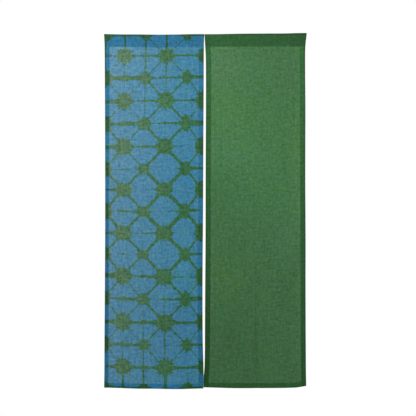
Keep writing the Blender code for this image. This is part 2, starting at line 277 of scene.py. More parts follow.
class NorenClothSettings(bpy.types.PropertyGroup):
    """Sizes of the cut, its hems and its heading."""

    thickness: bpy.props.FloatProperty(
        name="Thickness", description="Thickness of the single cloth", default=0.4 * MM, unit="LENGTH")
    ply_pitch: bpy.props.FloatProperty(
        name="Ply pitch", description="Distance between the middles of folded plies", default=0.5 * MM,
        unit="LENGTH")
    width: bpy.props.FloatProperty(
        name="Width", description="Nominal width of one finished panel", default=420 * MM, unit="LENGTH")
    length: bpy.props.FloatProperty(
        name="Length", description="Nominal length from the top edge to the foot", default=1.5, unit="LENGTH")
    heading: bpy.props.FloatProperty(
        name="Heading", description="Height of the rod pocket down to its seam", default=55 * MM,
        unit="LENGTH")
    rod_fold: bpy.props.FloatProperty(
        name="Rod fold", description="Radius of the fold that lies over the rod", default=6.9 * MM,
        unit="LENGTH")
    side_hem: bpy.props.FloatProperty(
        name="Side hem", description="Width of the side hems", default=21 * MM, unit="LENGTH")
    foot_hem: bpy.props.FloatProperty(
        name="Foot hem", description="Height of the foot hem", default=21 * MM, unit="LENGTH")
    turn_in: bpy.props.FloatProperty(
        name="Turn-in", description="Raw edge turned in under each hem", default=10 * MM, unit="LENGTH")
    stitch_inset: bpy.props.FloatProperty(
        name="Stitch line", description="Distance of the stitch line from the hem's fold", default=19 * MM,
        unit="LENGTH")
    grid_step: bpy.props.FloatProperty(
        name="Grid step", description="Mesh size in the open field", default=5.4 * MM, unit="LENGTH")


class NorenDyeSettings(bpy.types.PropertyGroup):
    """Colours of the dyed cloth, single and doubled."""

    blue: bpy.props.FloatVectorProperty(
        name="Blue", description="Blue ground, single cloth", default=(0.047, 0.214, 0.342),
        subtype="COLOR", size=3)
    # Painted shade: darker than the single cloth, for the light that the doubled cloth keeps back
    blue_doubled: bpy.props.FloatVectorProperty(
        name="Blue, doubled", description="Blue ground where the cloth is doubled",
        default=(0.018, 0.156, 0.288), subtype="COLOR", size=3)
    star_green: bpy.props.FloatVectorProperty(
        name="Star green", description="Green dye on the dyed panel, single cloth",
        default=(0.030, 0.138, 0.049), subtype="COLOR", size=3)
    # Painted shade: darker than the single cloth, for the light that the doubled cloth keeps back
    star_green_doubled: bpy.props.FloatVectorProperty(
        name="Star green, doubled", description="Green dye on the dyed panel where the cloth is doubled",
        default=(0.013, 0.086, 0.026), subtype="COLOR", size=3)
    green: bpy.props.FloatVectorProperty(
        name="Green", description="Green of the plain panel, single cloth", default=(0.058, 0.172, 0.064),
        subtype="COLOR", size=3)
    # Painted shade: darker than the single cloth, for the light that the doubled cloth keeps back
    green_doubled: bpy.props.FloatVectorProperty(
        name="Green, doubled", description="Green of the plain panel where the cloth is doubled",
        default=(0.022, 0.112, 0.026), subtype="COLOR", size=3)
    # The whitish colour that the haze and the paler strips beside the hems tend to
    faded: bpy.props.FloatVectorProperty(
        name="Faded", description="What faded cloth tends to", default=(0.80, 0.83, 0.84),
        subtype="COLOR", size=3)
    blue_thread: bpy.props.FloatVectorProperty(
        name="Blue thread", description="Sewing thread of the dyed panel", default=(0.13, 0.27, 0.34),
        subtype="COLOR", size=3)
    green_thread: bpy.props.FloatVectorProperty(
        name="Green thread", description="Sewing thread of the plain panel", default=(0.085, 0.19, 0.095),
        subtype="COLOR", size=3)


class NorenStageSettings(bpy.types.PropertyGroup):
    """The floor, the lights and the camera."""

    floor_level: bpy.props.FloatProperty(
        name="Floor", description="Height of the floor", default=-1.85, unit="LENGTH")
    floor_radius: bpy.props.FloatProperty(
        name="Floor radius", description="Radius of the round floor", default=2.2, unit="LENGTH")
    ambient: bpy.props.FloatProperty(
        name="Ambient", description="Strength of the white surroundings as a light", default=0.64)
    key_power: bpy.props.FloatProperty(
        name="Key light", description="Power of the large lamp at the upper left", default=19.0, unit="POWER")
    frame_width: bpy.props.FloatProperty(
        name="Framed width", description="Width of the cloth's plane that the picture takes in",
        default=PICTURE_WIDTH * MM_PER_PIXEL * MM, unit="LENGTH")
    camera_distance: bpy.props.FloatProperty(
        name="Camera distance", description="Distance of the camera from the cloth", default=9.0,
        unit="LENGTH")
    aim: bpy.props.FloatVectorProperty(
        name="Aim", description="Point at the picture's centre", default=(0.0148, 0.0, -0.736),
        subtype="TRANSLATION", size=3)


def smoothstep(low, high, value):
    """0 below low, 1 above high, and a smooth S between them: 3 t squared minus 2 t cubed."""
    t = np.clip((value - low) / (high - low), 0.0, 1.0)
    return t * t * (3.0 - 2.0 * t)


def read_curve(rows, key, column, at):
    """One column of a table, read as a smooth curve: a cubic between rows, whose slope at each row is the
    rise from the row before it to the row after it."""
    keys = np.array([getattr(row, key) for row in rows], dtype=float)
    values = np.array([getattr(row, column) for row in rows], dtype=float)
    before = np.maximum(np.arange(len(rows)) - 1, 0)
    after = np.minimum(np.arange(len(rows)) + 1, len(rows) - 1)
    slopes = (values[after] - values[before]) / (keys[after] - keys[before])
    at = np.clip(at, keys[0], keys[-1])
    i = np.clip(np.searchsorted(keys, at, side="right") - 1, 0, len(rows) - 2)
    span = keys[i + 1] - keys[i]
    t = (at - keys[i]) / span
    start = (1 + 2 * t) * (1 - t) ** 2 * values[i] + t * (1 - t) ** 2 * span * slopes[i]
    end = t * t * (3 - 2 * t) * values[i + 1] - t * t * (1 - t) * span * slopes[i + 1]
    return start + end


def ripples(x, y, length_x, length_y, seed, count=7):
    """Soft unevenness from -1 to 1: a mean of sines that run in seeded directions over the two lengths."""
    draws = np.random.default_rng(seed)
    total = np.zeros(np.broadcast(x, y).shape)
    for _ in range(count):
        turn, phase = draws.uniform(0, 2 * math.pi), draws.uniform(0, 2 * math.pi)
        stretch = draws.uniform(0.6, 1.6)
        along = np.cos(turn) * x / length_x + np.sin(turn) * y / length_y
        total = total + np.sin(2 * math.pi * along * stretch + phase)
    return total / math.sqrt(count)


def side_x(panel, drop):
    """X of the left and of the right edge at each distance below the top."""
    left = read_curve(panel.sides, "drop", "left", drop / MM) * MM
    right = read_curve(panel.sides, "drop", "right", drop / MM) * MM
    return left, right


def hem_width(panel, side, drop):
    """Width of the left or the right hem at each distance below the top."""
    return read_curve(panel.sides, "drop", side, drop / MM) * MM


def hem_inset(panel, cloth, x, drop):
    """Distance inside the nearer side edge, stretched so that every hem ends at the hem's nominal width."""
    left, right = side_x(panel, drop)
    insets = []
    for side, inset in (("left_hem", x - left), ("right_hem", right - x)):
        width = hem_width(panel, side, drop)
        insets.append(np.where(inset < width, inset * cloth.side_hem / width, inset - width + cloth.side_hem))
    return np.minimum(*insets)


def seam_drop(panel, cloth, across):
    """Distance of the heading's seam below the top at each place across."""
    return cloth.heading - read_curve(panel.ends, "across", "seam", across) * MM


def corner_bulk(cloth, inset):
    """1 over the side hems, where the turned plies are stacked, and an S down to 0 a little inside them."""
    return 1 - smoothstep(cloth.side_hem + CORNER_START, cloth.side_hem + CORNER_END, inset)


def fold_depth(panel, cloth, across, drop):
    """Depth of the hanging cloth: each fold is a bell curve across, times an S that grows down the panel."""
    left, right = side_x(panel, drop)
    share = drop / cloth.length
    y = np.zeros(np.broadcast(across, drop).shape)
    for fold in panel.folds:
        centre = fold.across_top + (fold.across_foot - fold.across_top) * share
        away = (across - centre) * (right - left) / (fold.half_width * MM)
        y = y + fold.depth * MM * np.exp(-away * away) * smoothstep(fold.starts * MM, fold.ends * MM, drop)
    return y * smoothstep(FOLD_FADE_START, FOLD_FADE_END, drop)


def cloth_depth(panel, cloth, across, drop):
    """Depth of the front ply: the folds, broad unevenness, and small puckers beside the sewn seams."""
    left, right = side_x(panel, drop)
    x = left + across * (right - left)
    inset = hem_inset(panel, cloth, x, drop)
    seam = seam_drop(panel, cloth, across)
    calm = smoothstep(0.0, 90 * MM, drop - seam)
    broad = 0.8 * MM * ripples(x, drop, 150 * MM, 260 * MM, panel.seed) * calm
    below_seam = np.maximum(drop - seam, 0.0)
    above_seam = np.maximum(seam - drop, 0.0)
    gather = np.exp(-below_seam / (22 * MM)) * np.exp(-above_seam / (32 * MM))
    seam_pucker = 0.6 * MM * ripples(x, 0.1 * drop, 20 * MM, 60 * MM, panel.seed + 1) * gather
    beside_hem = np.exp(-((inset - cloth.stitch_inset) / (13 * MM)) ** 2)
    hem_pucker = 0.35 * MM * ripples(0.3 * x, drop, 40 * MM, 26 * MM, panel.seed + 2) * beside_hem * calm
    foot_rise = cloth.length - drop
    beside_foot = np.exp(-((foot_rise - cloth.stitch_inset) / (16 * MM)) ** 2)
    foot_pucker = 0.4 * MM * ripples(x, 0.3 * drop, 24 * MM, 40 * MM, panel.seed + 3) * beside_foot
    groove = 0.22 * MM * np.exp(-((inset - cloth.stitch_inset) / (1.6 * MM)) ** 2) * (drop > seam)
    return fold_depth(panel, cloth, across, drop) + broad + seam_pucker + hem_pucker + foot_pucker + groove


# A place across the cut: the edge it is measured from (-1 left, 1 right, 0 none), its inset from that edge,
# the ply it lies on, counted from the front, its run along the cloth from that edge, and its share of the
# field between the hems
ColumnSpot = namedtuple("ColumnSpot", "edge inset ply run share")
# A place along the cut: its depth at ply 0 and how it shifts with the levels of the first and second turned
# ply, its height as shares of the top, seam and foot levels plus a rise and two turned radii, and the
# direction in which further plies lie
RowSpot = namedtuple("RowSpot", "depth turned_1 turned_2 top seam foot rise inner outer ply_y ply_z")


def column_spots(cloth, edge):
    """Places across one side hem, from its raw edge to its inner border on the front: a strip turned in, a
    half circle, the hem's own ply, and a half circle round the outer edge."""
    pitch, hem = cloth.ply_pitch, cloth.side_hem
    spots = []
    wrap = math.pi * pitch
    for inset in np.linspace(hem - cloth.turn_in, hem, 3):
        spots.append((inset, 1.0, -(wrap + 2 * hem + 2 * pitch - inset)))
    for turn in np.linspace(-0.5, 0.5, 4)[1:]:
        bulge = 0.5 * pitch * math.cos(math.pi * turn)
        ply = 1.5 + 0.5 * math.sin(math.pi * turn)
        spots.append((hem + bulge, ply, -(wrap + hem + pitch * (0.5 - turn))))
    for inset in np.linspace(hem, pitch, 5)[1:]:
        spots.append((inset, 2.0, -(wrap + inset - pitch)))
    for turn in np.linspace(0.5, -0.5, 6)[1:]:
        inset = pitch * (1 - math.cos(math.pi * turn))
        spots.append((inset, 1 + math.sin(math.pi * turn), pitch - wrap * (turn + 0.5)))
    for inset in [line * MM for line in SIDE_HEM_LINES] + [hem + PAST_HEM]:
        spots.append((inset, 0.0, inset))
    return [ColumnSpot(edge, inset, ply, run, 0.0) for inset, ply, run in spots]


def tangent_point(outer_y, outer_z, radius):
    """Where a straight wall from a point meets, without a corner, the circle of that radius about the
    origin: at the point's own direction, turned by the angle whose cosine is the radius over its distance."""
    distance = math.hypot(outer_y, outer_z)
    lean = math.acos(radius / distance)
    turn = math.atan2(outer_z, outer_y) + math.copysign(lean, outer_y)
    return radius * math.cos(turn), radius * math.sin(turn), turn


def row_spots(cloth):
    """Places along the cut, from the raw edge in the pocket to the raw edge in the foot hem."""
    radius, heading = cloth.rod_fold, cloth.heading
    fall = heading - radius
    spots = []
    lip = 2.5 * MM
    slope = radius / heading
    for height in np.linspace(cloth.turn_in, 1.0 * MM, 3):
        spots.append(RowSpot(slope * height, 1, 0, 0, 1, 0, height - lip, 0, 0, 1, 0))
    for turn in np.linspace(0, math.pi, 5):
        c, s = math.cos(turn), math.sin(turn)
        spots.append(RowSpot(0, (1 + c) / 2, (1 - c) / 2, 0, 1, 0, -lip, 1 - s, 0, c, s))
    back_y, back_z, back_turn = tangent_point(1.0 * MM, -fall, radius)
    for share in np.linspace(0, 1, 9)[1:]:
        spots.append(RowSpot(share * back_y, 0, 1 - share, share, 1 - share, 0,
                             share * (back_z - radius) - (1 - share) * (lip - 1 * MM), 0, 0, -1, 0))
    front_y, front_z, front_turn = tangent_point(-0.01 * MM, -fall, radius)
    end_turn = front_turn + 2 * math.pi if front_turn < back_turn else front_turn
    for turn in np.linspace(back_turn, end_turn, 14)[1:-1]:
        c, s = math.cos(turn), math.sin(turn)
        spots.append(RowSpot(radius * c, 0, 0, 1, 0, 0, radius * (s - 1), 0, 0, -c, -s))
    for share in np.linspace(1, 0, 10):
        rise = share * (front_z - radius)
        spots.append(RowSpot(share * front_y, 0, 0, share, 1 - share, 0, rise, 0, 0, 1, 0))
    field = cloth.length - heading
    steps = round(field / cloth.grid_step)
    hem_share = 1 - (cloth.foot_hem + PAST_HEM) / field
    shares = [1.2 * MM / field, 3.5 * MM / field]
    shares += list(np.linspace(3.5 * MM / field, hem_share, steps)[1:])
    shares += [1 - rise * MM / field for rise in FOOT_HEM_LINES]
    for share in shares:
        spots.append(RowSpot(0, 0, 0, 0, 1 - share, share, 0, 0, share, 1, 0))
    for turn in np.linspace(0, math.pi, 7):
        c, s = math.cos(turn), math.sin(turn)
        spots.append(RowSpot(0, 0, (1 - c) / 2, 0, 0, 1, 0, 0, 1 - s, c, s))
    for height in np.linspace(0, cloth.foot_hem, 6)[1:]:
        share = height / cloth.foot_hem
        spots.append(RowSpot(0, 0, 1, 0, 0, 1, height, 0, 1 - share, -1, 0))
    for turn in np.linspace(0, math.pi, 5)[1:]:
        c, s = math.cos(turn), math.sin(turn)
        spots.append(RowSpot(0, (1 - c) / 2, (1 + c) / 2, 0, 0, 1, cloth.foot_hem, s, 0, -c, -s))
    for height in np.linspace(cloth.foot_hem, cloth.foot_hem - cloth.turn_in, 3)[1:]:
        spots.append(RowSpot(0, 1, 0, 0, 0, 1, height, 0, 0, 1, 0))
    return spots


def as_columns(spots):
    """A list of named rows as one named row of arrays."""
    return type(spots[0])(*np.array(spots, dtype=float).T)


def cloth_grid(panel, cloth):
    """The whole cut of one panel as arrays over the grid: points, and the places that the dye, the haze and
    the painted shade follow. A point is the profile along the cut, at its column, plus the column's ply along
    the profile's inner normal."""
    left_hem = column_spots(cloth, -1)
    right_hem = [spot._replace(edge=1) for spot in reversed(left_hem)]
    nominal = cloth.width
    border = left_hem[-1].inset
    steps = round((nominal - 2 * border) / cloth.grid_step)
    field = [ColumnSpot(0, border, 0, 0, share) for share in np.linspace(0, 1, steps + 1)[1:-1]]
    col = as_columns(left_hem + field + right_hem)
    row = as_columns(row_spots(cloth))
    cols = {name: getattr(col, name)[None, :] for name in col._fields}
    rows = {name: getattr(row, name)[:, None] for name in row._fields}

    across = np.where(cols["edge"] < 0, cols["inset"] / nominal,
                      np.where(cols["edge"] > 0, 1 - cols["inset"] / nominal,
                               (border + cols["share"] * (nominal - 2 * border)) / nominal))
    from_side = np.minimum(across, 1 - across) * nominal
    corner = corner_bulk(cloth, from_side)
    level_1 = cloth.ply_pitch * (1 + CORNER_PLIES[0] * corner)
    level_2 = cloth.ply_pitch * (2 + CORNER_PLIES[1] * corner)

    top = read_curve(panel.ends, "across", "top", across) * MM - cloth.thickness / 2
    foot = -cloth.length + read_curve(panel.ends, "across", "foot", across) * MM + cloth.thickness / 2
    seam = seam_drop(panel, cloth, across)
    z = rows["top"] * top - rows["seam"] * seam + rows["foot"] * foot + rows["rise"]
    z = z + rows["inner"] * (level_2 - level_1) / 2 + rows["outer"] * level_2 / 2
    depth = rows["depth"] + rows["turned_1"] * level_1 + rows["turned_2"] * level_2
    offset = cols["ply"] * cloth.ply_pitch
    z = z + offset * rows["ply_z"]
    level = np.maximum(-z, 0.0)
    left, right = side_x(panel, level)
    left_stretch = hem_width(panel, "left_hem", level) / cloth.side_hem
    right_stretch = hem_width(panel, "right_hem", level) / cloth.side_hem
    open_width = right - left - border * (left_stretch + right_stretch)
    x = np.where(cols["edge"] < 0, left + cols["inset"] * left_stretch,
                 np.where(cols["edge"] > 0, right - cols["inset"] * right_stretch,
                          left + border * left_stretch + cols["share"] * open_width))
    real_across = (x - left) / (right - left)
    y = depth + offset * rows["ply_y"] + FRONT_LEVEL + cloth.thickness / 2
    y = y + cloth_depth(panel, cloth, real_across, level)

    middle = x.shape[1] // 2
    steps_along = np.hypot(np.diff(y[:, middle]), np.diff(z[:, middle]))
    run_down = np.concatenate([[0.0], np.cumsum(steps_along)])
    seam_row = int(np.argmax(row.seam * (row.ply_y > 0) * (row.top == 0) * (row.turned_1 == 0)))
    run_down = run_down - run_down[seam_row] + cloth.heading
    run_across = np.where(cols["edge"] < 0, cols["run"],
                          np.where(cols["edge"] > 0, nominal - cols["run"], across * nominal))
    on_front = (row.ply_y > 0.5) & (row.turned_1 == 0) & (np.arange(len(row.top)) > POCKET_LIP_ROWS)
    drop = np.where(on_front[:, None], -z, run_down[:, None] + 0 * z)
    unrolled = np.where(cols["edge"] < 0, left + cols["run"], right - cols["run"])
    return {
        "points": np.stack([x, y, z], axis=-1),
        "run_across": run_across + 0 * z,
        "run_down": run_down[:, None] + 0 * z,
        "x_flat": np.where(cols["ply"] < 0.5, x, unrolled),
        "drop": drop,
        "side_inset": hem_inset(panel, cloth, x, level),
        "ply": cols["ply"] + 0 * z,
        "on_front": on_front[:, None] & (cols["ply"] < 0.5),
        "foot_rise": z - foot,
        "seam_rise": z + seam,
        "z": z,
    }


def lattice_places(x_flat, drop):
    """Column and row number, as fractions, of each point in the dyer's folds: each number rises by one from
    fold to fold, along straight lines between them."""
    drops = [row.drop * MM for row in FOLD_COLUMNS]
    columns = []
    for number in range(len(FOLD_COLUMNS[0].x)):
        columns.append(np.interp(drop, drops, [row.x[number] * MM for row in FOLD_COLUMNS]))
    columns = [columns[0] - COLUMN_PITCH] + columns + [columns[-1] + COLUMN_PITCH]
    place_x = np.full(x_flat.shape, -1.0)
    for start, end in zip(columns[:-1], columns[1:]):
        place_x = place_x + np.clip((x_flat - start) / (end - start), 0, 1)

    share = np.clip((x_flat - columns[1]) / (columns[-2] - columns[1]), 0, 1)
    sag = np.sin(math.pi * share)
    levels = [(row.left + (row.right - row.left) * share + row.sag * sag) * MM for row in CHART]
    levels = [levels[0] - ROW_PITCH] + levels + [levels[-1] + ROW_PITCH]
    place_y = np.full(x_flat.shape, -1.0)
    for start, end in zip(levels[:-1], levels[1:]):
        place_y = place_y + np.clip((drop - start) / (end - start), 0, 1)
    return place_x, place_y


def chart_lines(place_x, place_y):
    """By name, half widths of the dyed lines, radius of the nearest mark and how it is drawn out upwards, at
    each point, read from the chart in millimetres. A line that is missing has a negative half width."""
    marks = np.array([row.marks for row in CHART], dtype=float)
    across = np.array([row.across for row in CHART], dtype=float)
    down = np.array([row.down for row in CHART], dtype=float)
    slant = np.array([row.slant for row in CHART], dtype=float)
    last_row, last_column = marks.shape[0] - 1, marks.shape[1] - 1
    near_row = np.clip(np.rint(place_y).astype(int), 0, last_row)
    near_column = np.clip(np.rint(place_x).astype(int), 0, last_column)

    def half(width):
        return 0.55 * width + 0.3 - 4.0 * np.maximum(0.0, 1.0 - width)

    half_steps = np.clip(place_x * 2, 0, 2 * last_column)
    step = np.minimum(half_steps.astype(int), 2 * last_column - 1)
    part = half_steps - step
    across_width = across[near_row, step] * (1 - part) + across[near_row, step + 1] * part
    level = np.clip(place_y - 0.5, 0, last_row)
    above = np.minimum(level.astype(int), last_row - 1)
    part = level - above
    down_width = down[above, near_column] * (1 - part) + down[above + 1, near_column] * part
    cell_row = np.clip(np.floor(place_y).astype(int), 0, last_row)
    cell_column = np.clip(np.floor(place_x).astype(int), 0, last_column - 1)
    slant_width = slant[cell_row, cell_column]
    mark_radius = marks[near_row, near_column]
    mark_radius = np.where(mark_radius > 0, mark_radius, -12.0)
    tall = np.array([row.tall for row in CHART], dtype=float)[near_row, near_column // 2]
    draw_out = np.sqrt(np.where((near_row + near_column) % 2 == 0, tall, 1.0))
    return {"line_across": half(across_width), "line_down": half(down_width), "line_slant": half(slant_width),
            "mark_radius": mark_radius, "mark_draw_out": draw_out}


def on_hem(width, inset):
    """1 on a hem of this width and 0 past it, with a border under a millimetre wide."""
    return 1 - smoothstep(width - 0.3 * MM, width + 0.6 * MM, inset)


def on_heading(grid):
    """1 on the heading and 0 below its seam."""
    return smoothstep(-0.8 * MM, 0.2 * MM, grid["seam_rise"])


def ply_shade_and_pale_places(cloth, grid):
    """By name, where the cloth shows doubled, where it is paler beside a hem, and where painted shade darkens
    it: along its outer folds, where the cloth turns away from the light, and less so along the stitch lines,
    where the stitches draw it in."""
    inset, rise, fall = grid["side_inset"], grid["foot_rise"], -grid["z"]
    foot, heading = on_hem(cloth.foot_hem, rise), on_heading(grid)
    doubled = np.maximum(np.maximum(on_hem(cloth.side_hem, inset), foot), heading)
    doubled = np.where(grid["on_front"] | (grid["ply"] < 0.5), doubled, 1.0)
    past_hem = inset - cloth.side_hem
    pale = np.exp(-np.maximum(past_hem, 0) / (7 * MM)) * (past_hem > 0.3 * MM)
    pale = pale * (1 - foot) * (1 - heading)
    # Painted shade: a dark line along the outer folds, and a fainter one along the stitch lines and the
    # heading's seam
    from_edge = np.minimum(np.minimum(inset, np.maximum(rise, 0)), np.maximum(fall, 0))
    edge = np.exp(-from_edge / EDGE_SHADE)
    for away in (inset - cloth.stitch_inset, rise - cloth.stitch_inset, grid["seam_rise"] - 1.5 * MM):
        edge = np.maximum(edge, 0.3 * np.exp(-(away / (2.0 * MM)) ** 2))
    return {"doubled": doubled, "pale": pale, "edge": edge}


def haze_and_tone_places(panel, cloth, grid, doubled):
    """Where the cloth is lighter towards a whitish haze, and how strongly its colour reflects in red, green
    and blue:
    the dyed panel is hazed towards its left edge and its top and is a little lighter at the foot, the doubled
    cloth of both is hazed a little towards the top, the plain one is a little lighter at the top and darker
    towards its lower left, painted shade darkens the hems towards the foot and the heading, and both have
    soft patches."""
    x, z = grid["points"][..., 0], grid["z"]
    height = np.clip(1 + z / cloth.length, 0, 1)
    hem, heading = on_hem(cloth.side_hem, grid["side_inset"]), on_heading(grid)
    if panel is LEFT_PANEL:
        # A whitish haze towards the left edge and the top
        from_right = 1 - smoothstep(-0.46, 0.02, x)
        faded = from_right * (0.68 + 0.28 * height) + 0.10 * height
        # Painted shade: the hems darker towards the foot and the heading darker; the panel a little lighter
        # towards the foot
        tone = (1 + 0.04 * (1 - height)) * (1 - hem * (0.03 + 0.10 * (1 - height))) * (1 - 0.08 * heading)
        patches = LEFT_PATCHES
    else:
        from_left = 1 - smoothstep(0.0, 0.5, x)
        faded = 0.0 * x
        # Painted shade on the left hem towards the foot, beside the parting
        low_left_shade = hem * (x < 0.2) * smoothstep(0.8, 1.3, -z)
        tone = 1.0 + (0.05 + 0.09 * from_left) * (2 * height - 1)
        # Painted light: the right hem lighter towards the top
        top_right_light = hem * (x > 0.2) * height * (1 - heading)
        # Painted shade: the hems darker towards the foot, the heading darker, and the left hem darker at the
        # foot
        tone = tone * (1 - hem * (0.03 + 0.12 * (1 - height))) * (1 - 0.17 * heading) * (1 - 0.16 * low_left_shade)
        tone = tone * (1 + 0.16 * top_right_light)
        patches = RIGHT_PATCHES
    # The doubled cloth of both panels is hazed a little towards the top
    faded = faded * (1 - doubled) + 0.12 * height * doubled
    tones = np.repeat(tone[..., None], 3, axis=-1)
    for patch in patches:
        away_x = (x / MM - patch.x) / patch.half_width
        away_z = (-z / MM - patch.drop) / patch.half_height
        amount = np.exp(-away_x ** 2 - away_z ** 2) * (doubled if patch.doubled else 1 - doubled)
        tones = tones * (1 + 0.01 * amount[..., None] * np.array([patch.red, patch.green, patch.blue]))
    return faded, tones


def grid_mesh(name, grid, collection):
    """A mesh of the grid's quads, with the cloth's own metres as its first UV map."""
    points = grid["points"]
    rows, columns = points.shape[:2]
    number = np.arange(rows * columns).reshape(rows, columns)
    quads = np.stack([number[:-1, :-1], number[1:, :-1], number[1:, 1:], number[:-1, 1:]], axis=-1)
    quads = quads.reshape(-1, 4)
    mesh = bpy.data.meshes.new(name)
    mesh.vertices.add(rows * columns)
    mesh.vertices.foreach_set("co", points.reshape(-1).astype(np.float32))
    mesh.loops.add(quads.size)
    mesh.loops.foreach_set("vertex_index", quads.reshape(-1).astype(np.int32))
    mesh.polygons.add(len(quads))
    mesh.polygons.foreach_set("loop_start", np.arange(0, quads.size, 4, dtype=np.int32))
    mesh.update(calc_edges=True)
    mesh.validate()
    add_uv(mesh, "cloth", grid["run_across"], grid["run_down"], quads)
    mesh.shade_smooth()
    piece = bpy.data.objects.new(name, mesh)
    collection.objects.link(piece)
    return piece, quads


def add_uv(mesh, name, u, v, quads):
    """A UV map whose two numbers are given for each point of the grid."""
    layer = mesh.uv_layers.new(name=name)
    pairs = np.stack([u.reshape(-1)[quads.reshape(-1)], v.reshape(-1)[quads.reshape(-1)]], axis=-1)
    layer.data.foreach_set("uv", pairs.reshape(-1).astype(np.float32))


def add_amount(mesh, name, values):
    """A number for each point, which a material reads by its name."""
    attribute = mesh.attributes.new(name, "FLOAT", "POINT")
    attribute.data.foreach_set("value", values.reshape(-1).astype(np.float32))


def add_tones(mesh, name, values):
    """Three numbers for each point, which a material reads by their name."""
    attribute = mesh.attributes.new(name, "FLOAT_VECTOR", "POINT")
    attribute.data.foreach_set("vector", values.reshape(-1).astype(np.float32))


class Recipe:
    """Writes a material's nodes as plain calls, so that a recipe reads as its formula."""

    def __init__(self, name):
        self.material = bpy.data.materials.new(name)
        self.material.use_nodes = True
        self.nodes = self.material.node_tree.nodes
        self.links = self.material.node_tree.links
        self.shader = self.nodes["Principled BSDF"]
        self.output = self.nodes["Material Output"]

    def feed(self, socket, value):
        """Links a socket to another node's result, or sets it to a plain value."""
        if isinstance(value, bpy.types.NodeSocket):
            self.links.new(value, socket)
        else:
            socket.default_value = value

    def maths(self, operation, *values, clamp=False):
        """One sum, product or other operation."""
        node = self.nodes.new("ShaderNodeMath")
        node.operation = operation
        node.use_clamp = clamp
        for socket, value in zip(node.inputs, values):
            self.feed(socket, value)
        return node.outputs[0]

    def remap(self, value, low, high, to_low=0.0, to_high=1.0, smooth=True):
        """A value's place between two limits, eased at both ends."""
        node = self.nodes.new("ShaderNodeMapRange")
        node.interpolation_type = "SMOOTHSTEP" if smooth else "LINEAR"
        for socket, item in zip(node.inputs, (value, low, high, to_low, to_high)):
            self.feed(socket, item)
        return node.outputs[0]

    def amount(self, name):
        """A number that the mesh keeps for each point."""
        node = self.nodes.new("ShaderNodeAttribute")
        node.attribute_name = name
        return node.outputs["Fac"]

    def tones(self, name):
        """Three numbers that the mesh keeps for each point."""
        node = self.nodes.new("ShaderNodeAttribute")
        node.attribute_name = name
        return node.outputs["Vector"]

    def vary(self, colour, amounts, gains):
        """A colour whose red, green and blue each vary by their own amount times their own gain."""
        node = self.nodes.new("ShaderNodeVectorMath")
        node.operation = "MULTIPLY_ADD"
        for socket, value in zip(node.inputs, (gains, amounts, (1.0, 1.0, 1.0))):
            self.feed(socket, value)
        floor = self.nodes.new("ShaderNodeVectorMath")
        floor.operation = "MAXIMUM"
        self.feed(floor.inputs[0], node.outputs[0])
        floor.inputs[1].default_value = (0.15, 0.15, 0.15)
        return self.mix(1.0, colour, floor.outputs[0], blend="MULTIPLY")

    def uv(self, name):
        """The two numbers of a UV map."""
        node = self.nodes.new("ShaderNodeUVMap")
        node.uv_map = name
        parts = self.nodes.new("ShaderNodeSeparateXYZ")
        self.links.new(node.outputs[0], parts.inputs[0])
        return parts.outputs[0], parts.outputs[1]

    def vector(self, x, y, z=0.0):
        """Three numbers as one vector."""
        node = self.nodes.new("ShaderNodeCombineXYZ")
        for socket, value in zip(node.inputs, (x, y, z)):
            self.feed(socket, value)
        return node.outputs[0]

    def noise(self, vector, scale=1.0, detail=2.0, roughness=0.5):
        """Soft noise between 0 and 1."""
        node = self.nodes.new("ShaderNodeTexNoise")
        self.feed(node.inputs["Vector"], vector)
        node.inputs["Scale"].default_value = scale
        node.inputs["Detail"].default_value = detail
        node.inputs["Roughness"].default_value = roughness
        return node.outputs["Fac"]

    def mix(self, share, first, second, blend="MIX"):
        """Two colours mixed."""
        node = self.nodes.new("ShaderNodeMix")
        node.data_type = "RGBA"
        node.blend_type = blend
        for socket, value in ((node.inputs[0], share), (node.inputs[6], first), (node.inputs[7], second)):
            self.feed(socket, (*value, 1.0) if isinstance(value, tuple) else value)
        return node.outputs[2]

    def relief(self, height, strength, distance):
        """Fine relief under the shader's light."""
        bump = self.nodes.new("ShaderNodeBump")
        bump.inputs["Strength"].default_value = strength
        bump.inputs["Distance"].default_value = distance
        self.feed(bump.inputs["Height"], height)
        self.links.new(bump.outputs[0], self.shader.inputs["Normal"])


def weave(recipe):
    """Slubby plain weave. Returns its grain, about 0, and its height, then warp and weft: threads that
    thicken and thin along their length, soft blotches, streaks, and the small checks where threads cross."""
    u, v = recipe.uv("cloth")
    along = recipe.vector(recipe.maths("MULTIPLY", u, 130.0), recipe.maths("MULTIPLY", v, 30.0))
    warp = recipe.noise(along, detail=2.0)
    along = recipe.vector(recipe.maths("MULTIPLY", u, 25.0), recipe.maths("MULTIPLY", v, 135.0), 5.0)
    weft = recipe.noise(along, detail=2.0)
    blotch = recipe.noise(recipe.vector(u, v, 9.0), scale=88.0, detail=1.0, roughness=0.5)
    threads = recipe.maths("ADD", recipe.maths("SUBTRACT", warp, 0.5), recipe.maths("SUBTRACT", weft, 0.5))
    grain = recipe.maths("MULTIPLY", threads, 0.45)
    grain = recipe.maths("ADD", grain, recipe.maths("MULTIPLY", recipe.maths("SUBTRACT", blotch, 0.5), 0.70))
    along = recipe.vector(recipe.maths("MULTIPLY", u, 70.0), recipe.maths("MULTIPLY", v, 5.0), 3.0)
    streaks = recipe.maths("SUBTRACT", recipe.noise(along, detail=1.0), 0.5)
    grain = recipe.maths("ADD", grain, recipe.maths("MULTIPLY", streaks, 0.22))
    pitch = 2 * math.pi / WEAVE_CHECK
    across = recipe.maths("SINE", recipe.maths("MULTIPLY_ADD", u, pitch, recipe.maths("MULTIPLY", warp, 5.0)))
    down = recipe.maths("SINE", recipe.maths("MULTIPLY_ADD", v, pitch, recipe.maths("MULTIPLY", weft, 5.0)))
    height = recipe.maths("MULTIPLY_ADD", recipe.maths("MULTIPLY", across, down), 0.30, threads)
    return grain, height, warp, weft


